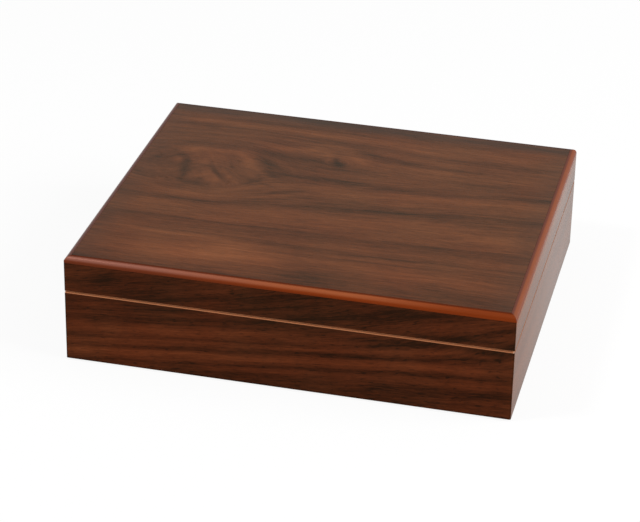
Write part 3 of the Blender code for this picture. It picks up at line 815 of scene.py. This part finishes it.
# The edgings' strengths paint part of their light and shade: one cherry, brightest on the front and darker
# at the right, back and left
FRONT_EDGING = Edging(
    axis="x", strength=1.0, specular=0.024, crest_end=0.0025,
    upper_joint_shade=0.42, lower_joint_shade=0.30, fade=0.80,
)
RIGHT_EDGING = Edging(
    axis="y", strength=0.70, specular=0.018, crest_end=0.0045,
    upper_joint_shade=0.72, lower_joint_shade=0.00, sheen=0.20, joint_sheen=0.60,
)
BACK_EDGING = Edging(
    axis="x", strength=0.62, specular=0.012, crest_end=0.0022,
    upper_joint_shade=0.32, lower_joint_shade=0.60, joint_sheen=0.30,
)
LEFT_EDGING = Edging(
    axis="y", strength=0.50, specular=0.024, crest_end=0.0022,
    upper_joint_shade=0.90, lower_joint_shade=0.60, joint_sheen=0.75,
)


def times(colour, share):
    """A colour darkened to a share of its brightness."""
    return [part * share for part in colour]


def cherry_colours(surface, edging, tone):
    """The stained flank, the crest with its painted highlight, and the dark joint lines, partly painted
    shade.
    """
    steps = ((CHERRY_STOPS, 1.0), (CREST_HIGHLIGHT_STOPS, 1.0), (CHERRY_STOPS, edging.upper_joint_shade))
    return [
        surface.ramp(tone, [(at, times(times(colour, edging.strength), share)) for at, colour in stops])
        for stops, share in steps
    ]


def cherry(name, edging):
    """Stained cherry, with a painted pinkish sheen at the left of the box."""
    surface = Surface(name)
    along = getattr(surface, edging.axis)
    across = surface.z + getattr(surface, "y" if edging.axis == "x" else "x")
    broad = surface.noise(CHERRY_BROAD, along, across)
    fine = surface.noise(CHERRY_FINE, along, across)
    fleck = surface.noise(CHERRY_FLECKS, along, across).step(*CHERRY_FLECK_ENDS)
    tone = 0.5 + broad * CHERRY_BROAD.amount + fine * CHERRY_FINE.amount - fleck * CHERRY_FLECKS.amount
    stained, highlighted, shaded = cherry_colours(surface, edging, tone)
    # Painted highlight on the crest, fading towards the right end
    crest = surface.z.step(LID_TOP - edging.crest_end, LID_TOP - CREST_DEPTH)
    upper = surface.z.step(LID_TOP - UPPER_JOINT_SHADE_DEPTH, LID_TOP)
    lower = (1.0 - surface.z.step(EDGING_BOTTOM, EDGING_BOTTOM + LOWER_JOINT_SHADE_DEPTH)) * edging.lower_joint_shade
    # Painted sheen, strongest at the left end of the box
    at_left = ((1.0 - surface.x.step(*PINK_SHEEN_ENDS)) * PINK_SHEEN_SHARE).most(edging.sheen)
    at_right = surface.x.step(*CREST_FADE_ENDS) * edging.fade
    faded = crest * (1.0 - at_right)
    # Painted shade along the joints, partly real dark joints, and at the right end of the front edging
    shade = upper.most(lower).most(at_right * END_SHADE)
    sheen = times(PINK_SHEEN, edging.strength)
    shaded = surface.mix(edging.joint_sheen, shaded, times(sheen, edging.upper_joint_shade))
    crown = surface.mix(at_left, highlighted, sheen)
    flank = surface.mix(at_left, stained, times(PINK_SHEEN_FLANK, edging.strength))
    surface.set("Base Color", surface.mix(shade, surface.mix(faded, flank, crown), shaded))
    surface.set("Roughness", CHERRY_ROUGHNESS + fine * CHERRY_ROUGHENING)
    surface.set("Specular IOR Level", edging.specular)
    surface.set("Metallic", CHERRY_METALLIC)
    surface.bump(fine * CHERRY_RELIEF - fleck * CHERRY_FLECK_DEPTH)
    return surface.material


# Pale wood of the walls and panels

PALE_STOPS = (
    (0.0, (0.40, 0.235, 0.125)),
    (0.5, (0.54, 0.335, 0.190)),
    (1.0, (0.66, 0.440, 0.270)),
)
PALE_YEARS = Noise(5.0, 160.0, amount=0.5, inwards=160.0)
PALE_GRAIN = Noise(60.0, 1600.0, amount=0.3, inwards=1600.0)
PALE_ROUGHNESS = 0.62
PALE_ROUGHENING = 0.08
PALE_RELIEF = 0.00001


def pale_wood(name, along_axis, seed):
    """Raw pale wood, its grain along one axis."""
    surface = Surface(name)
    along = getattr(surface, along_axis)
    across, inwards = (getattr(surface, axis) for axis in "xyz" if axis != along_axis)
    year = surface.noise(PALE_YEARS, along, across, inwards, seed)
    fine = surface.noise(PALE_GRAIN, along, across, inwards)
    tone = 0.5 + year * PALE_YEARS.amount + fine * PALE_GRAIN.amount
    surface.set("Base Color", surface.ramp(tone, PALE_STOPS))
    surface.set("Roughness", PALE_ROUGHNESS + fine * PALE_ROUGHENING)
    surface.bump(fine * PALE_RELIEF)
    return surface.material


# Cedar of the linings

CEDAR_STOPS = (
    (0.0, (0.260, 0.105, 0.046)),
    (0.5, (0.430, 0.215, 0.108)),
    (1.0, (0.560, 0.320, 0.185)),
)
CEDAR_WANDER = Noise(8.0, 9.0, amount=0.006)
CEDAR_YEARS = Noise(5.0, 120.0, amount=0.45, inwards=20.0)
CEDAR_GRAIN = Noise(40.0, 1200.0, amount=0.30, inwards=60.0)
CEDAR_PORES = Noise(260.0, 2400.0, amount=0.15, inwards=50.0, detail=1.0)
CEDAR_PORE_ENDS = (0.3, 0.55)
CEDAR_ROUGHNESS = 0.60
CEDAR_ROUGHENING = 0.08
CEDAR_RELIEF = 0.000012
CEDAR_PORE_DEPTH = 0.00003


def cedar(name, along_axis, across_axis, seed):
    """Raw cedar, its grain along one axis and its years across another."""
    surface = Surface(name)
    along = getattr(surface, along_axis)
    across = getattr(surface, across_axis)
    inwards = getattr(surface, next(axis for axis in "xyz" if axis not in (along_axis, across_axis)))
    grain = across + surface.wander(CEDAR_WANDER, along, across, seed)
    year = surface.noise(CEDAR_YEARS, along, grain, inwards, seed)
    fine = surface.noise(CEDAR_GRAIN, along, grain, inwards, seed)
    pores = surface.noise(CEDAR_PORES, along, grain, inwards, seed).step(*CEDAR_PORE_ENDS)
    tone = 0.5 + year * CEDAR_YEARS.amount + fine * CEDAR_GRAIN.amount - pores * CEDAR_PORES.amount
    surface.set("Base Color", surface.ramp(tone, CEDAR_STOPS))
    surface.set("Roughness", CEDAR_ROUGHNESS + fine * CEDAR_ROUGHENING)
    surface.bump(fine * CEDAR_RELIEF - pores * CEDAR_PORE_DEPTH)
    return surface.material


# Felt under the base

FELT_STOPS = (
    (0.0, (0.006, 0.010, 0.008)),
    (1.0, (0.030, 0.045, 0.036)),
)
FELT_FIBRES = Noise(900.0, 900.0, amount=0.6, inwards=900.0, detail=4.0, roughness=0.7)
FELT_CLOUD = Noise(60.0, 60.0, amount=0.2, inwards=60.0)
FELT_ROUGHNESS = 0.95
FELT_SPECULAR = 0.05
FELT_RELIEF = 0.00002


def felt(name):
    surface = Surface(name)
    fibre = surface.noise(FELT_FIBRES, surface.x, surface.y, surface.z)
    cloud = surface.noise(FELT_CLOUD, surface.x, surface.y, surface.z)
    tone = 0.5 + fibre * FELT_FIBRES.amount + cloud * FELT_CLOUD.amount
    surface.set("Base Color", surface.ramp(tone, FELT_STOPS))
    surface.set("Roughness", FELT_ROUGHNESS)
    surface.set("Specular IOR Level", FELT_SPECULAR)
    surface.bump(fibre * FELT_RELIEF)
    return surface.material


# Brass of the hinges

BRASS_STOPS = (
    (0.0, (0.56, 0.37, 0.13)),
    (0.6, (0.74, 0.53, 0.22)),
    (1.0, (0.80, 0.60, 0.27)),
)
BRASS_BRUSHING = Noise(300.0, 5000.0, amount=0.15, inwards=5000.0)
BRASS_TARNISH = Noise(260.0, 260.0, amount=0.5, inwards=260.0, detail=3.0)
BRASS_METALLIC = 1.0
BRASS_ROUGHNESS = 0.30
TARNISH_ROUGHENING = 0.12
BRUSHING_ROUGHENING = 0.05
BRASS_RELIEF = 0.000004


def brass(name):
    """Satin brass, brushed along x."""
    surface = Surface(name)
    brushed = surface.noise(BRASS_BRUSHING, surface.x, surface.y, surface.z)
    tarnish = surface.noise(BRASS_TARNISH, surface.x, surface.y, surface.z)
    tone = 0.5 + tarnish * BRASS_TARNISH.amount + brushed * BRASS_BRUSHING.amount
    surface.set("Base Color", surface.ramp(tone, BRASS_STOPS))
    roughness = BRASS_ROUGHNESS + tarnish * TARNISH_ROUGHENING + brushed * BRUSHING_ROUGHENING
    surface.set("Roughness", roughness)
    surface.set("Metallic", BRASS_METALLIC)
    surface.bump(brushed * BRASS_RELIEF)
    return surface.material


# Dressing the CAD nodes


def smooth_by_angle():
    """A node group that welds a mesh's split corners and shades it smooth but for its sharp edges."""
    group = bpy.data.node_groups.new("smooth by angle", "GeometryNodeTree")
    group.interface.new_socket("Geometry", in_out="INPUT", socket_type="NodeSocketGeometry")
    group.interface.new_socket("Geometry", in_out="OUTPUT", socket_type="NodeSocketGeometry")
    start = group.nodes.new("NodeGroupInput")
    weld = group.nodes.new("GeometryNodeMergeByDistance")
    weld.inputs["Distance"].default_value = WELD_DISTANCE
    angle = group.nodes.new("GeometryNodeInputMeshEdgeAngle")
    sharp = group.nodes.new("FunctionNodeCompare")
    sharp.inputs["B"].default_value = SMOOTH_ANGLE
    normals = group.nodes.new("GeometryNodeSetMeshNormal")
    normals.mode = "SHARPNESS"
    end = group.nodes.new("NodeGroupOutput")
    group.links.new(start.outputs[0], weld.inputs["Geometry"])
    group.links.new(weld.outputs[0], normals.inputs["Mesh"])
    group.links.new(angle.outputs["Unsigned Angle"], sharp.inputs["A"])
    group.links.new(sharp.outputs[0], normals.inputs["Edge Sharpness"])
    normals.inputs["Remove Custom"].default_value = True
    normals.inputs["Face Sharpness"].default_value = False
    group.links.new(normals.outputs[0], end.inputs[0])
    return group


def soften(obj, width):
    """Rounds a piece's sharp edges by width, inwards."""
    weld = obj.modifiers.new("weld", "WELD")
    weld.merge_threshold = WELD_DISTANCE
    bevel = obj.modifiers.new("eased edges", "BEVEL")
    bevel.width = width
    bevel.segments = BEVEL_SEGMENTS
    bevel.limit_method = "ANGLE"
    bevel.angle_limit = BEVEL_ANGLE
    bevel.use_clamp_overlap = True


def dress(names, material):
    for name in names:
        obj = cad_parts[name]
        obj.data.materials.clear()
        obj.data.materials.append(material)


def dress_all():
    dress(["top_veneer"], walnut("top", TOP))
    for side, board in zip(SIDES, (FRONT, RIGHT, BACK, LEFT)):
        dress([f"base_{side}_veneer", f"lid_{side}_veneer"], walnut(side, board))
    for side, edging in zip(SIDES, (FRONT_EDGING, RIGHT_EDGING, BACK_EDGING, LEFT_EDGING)):
        dress([f"lid_{side}_edging"], cherry(f"cherry {side}", edging))
    for axis, sides in (("x", ("front", "back")), ("y", ("right", "left"))):
        core = pale_wood(f"pale wood along {axis}", axis, seed=1.0)
        lining = cedar(f"cedar along {axis}", axis, "z", seed=2.0)
        for side in sides:
            dress([f"base_{side}_wall", f"lid_{side}_wall"], core)
            dress([f"base_{side}_lining", f"lid_{side}_lining"], lining)
    dress(["floor_lining", "ceiling_lining"], cedar("cedar flat", "x", "y", seed=6.0))
    dress(["bottom_panel", "lid_panel"], pale_wood("pale wood flat", "x", seed=4.0))
    dress(["felt_base"], felt("dark felt"))
    hinges = [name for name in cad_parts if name.startswith("hinge_")]
    dress(hinges, brass("satin brass"))


def ease_and_smooth_all():
    group = smooth_by_angle()
    for name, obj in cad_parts.items():
        ease = next((width for part, width in EASED_EDGES if part in name), 0.0)
        if ease:
            soften(obj, ease)
        modifier = obj.modifiers.new("smooth by angle", "NODES")
        modifier.node_group = group


# Studio


def seen_white(tree):
    """1 for the rays that see the backdrop: the camera's, reflected ones and those let through."""
    path = tree.nodes.new("ShaderNodeLightPath")
    camera, glossy, through = (
        Field(tree, path.outputs[name])
        for name in ("Is Camera Ray", "Is Glossy Ray", "Is Transmission Ray")
    )
    return camera.most(glossy).most(through)


def add_world():
    """White to the rays that see the backdrop, and dimmer as a light."""
    world = bpy.data.worlds.new("studio")
    bpy.context.scene.world = world
    world.use_nodes = True
    tree = world.node_tree
    background = tree.nodes["Background"]
    background.inputs["Color"].default_value = (1.0, 1.0, 1.0, 1.0)
    seen = seen_white(tree)
    feed(tree, background.inputs["Strength"], SKY_LIGHT + seen * (BACKDROP_WHITE - SKY_LIGHT))


def add_floor():
    """A pale floor that glows to the rays that see it, so that it is white with a faint shadow."""
    mesh = bpy.data.meshes.new("floor")
    half = FLOOR_SIZE / 2
    corners = [(-half, -half, 0), (half, -half, 0), (half, half, 0), (-half, half, 0)]
    mesh.from_pydata(corners, [], [(0, 1, 2, 3)])
    floor = bpy.data.objects.new("floor", mesh)
    bpy.context.scene.collection.objects.link(floor)
    material = bpy.data.materials.new("pale floor")
    material.use_nodes = True
    tree = material.node_tree
    shader = tree.nodes["Principled BSDF"]
    shader.inputs["Base Color"].default_value = (FLOOR_BOUNCE, FLOOR_BOUNCE, FLOOR_BOUNCE, 1.0)
    shader.inputs["Roughness"].default_value = FLOOR_ROUGHNESS
    shader.inputs["Specular IOR Level"].default_value = 0.0
    glow = tree.nodes.new("ShaderNodeEmission")
    glow.inputs["Strength"].default_value = BACKDROP_WHITE
    mix = tree.nodes.new("ShaderNodeMixShader")
    feed(tree, mix.inputs[0], seen_white(tree) * FLOOR_GLOW)
    tree.links.new(shader.outputs[0], mix.inputs[1])
    tree.links.new(glow.outputs[0], mix.inputs[2])
    tree.links.new(mix.outputs[0], tree.nodes["Material Output"].inputs["Surface"])
    mesh.materials.append(material)


def add_softboxes():
    for softbox in SOFTBOXES:
        light = bpy.data.lights.new(softbox.name, "AREA")
        light.shape = "SQUARE"
        light.size = softbox.size
        light.energy = softbox.power
        lamp = bpy.data.objects.new(softbox.name, light)
        bpy.context.scene.collection.objects.link(lamp)
        lamp.location = softbox.place
        aim = Vector(STUDIO_AIM) - Vector(softbox.place)
        lamp.rotation_euler = aim.to_track_quat("-Z", "Y").to_euler()


def add_camera():
    azimuth, elevation, roll = CAMERA_AZIMUTH, CAMERA_ELEVATION, CAMERA_ROLL
    back = Vector((
        math.sin(azimuth) * math.cos(elevation),
        -math.cos(azimuth) * math.cos(elevation),
        math.sin(elevation),
    ))
    level = Vector((math.cos(azimuth), math.sin(azimuth), 0.0))
    upright = back.cross(level)
    right = math.cos(roll) * level + math.sin(roll) * upright
    up = -math.sin(roll) * level + math.cos(roll) * upright
    foot = Vector((0.0, 0.0, WOOD_BOTTOM))
    place = CAMERA_RIGHT * right + CAMERA_UP * up + CAMERA_DISTANCE * back + foot
    data = bpy.data.cameras.new("camera")
    data.sensor_width = CAMERA_SENSOR
    data.lens = CAMERA_LENS
    camera = bpy.data.objects.new("camera", data)
    bpy.context.scene.collection.objects.link(camera)
    turn = Matrix((right, up, back)).transposed()
    camera.matrix_world = Matrix.Translation(place) @ turn.to_4x4()
    bpy.context.scene.camera = camera


bpy.context.scene.view_settings.view_transform = "Standard"
add_camera()
add_world()
add_floor()
add_softboxes()
dress_all()
ease_and_smooth_all()
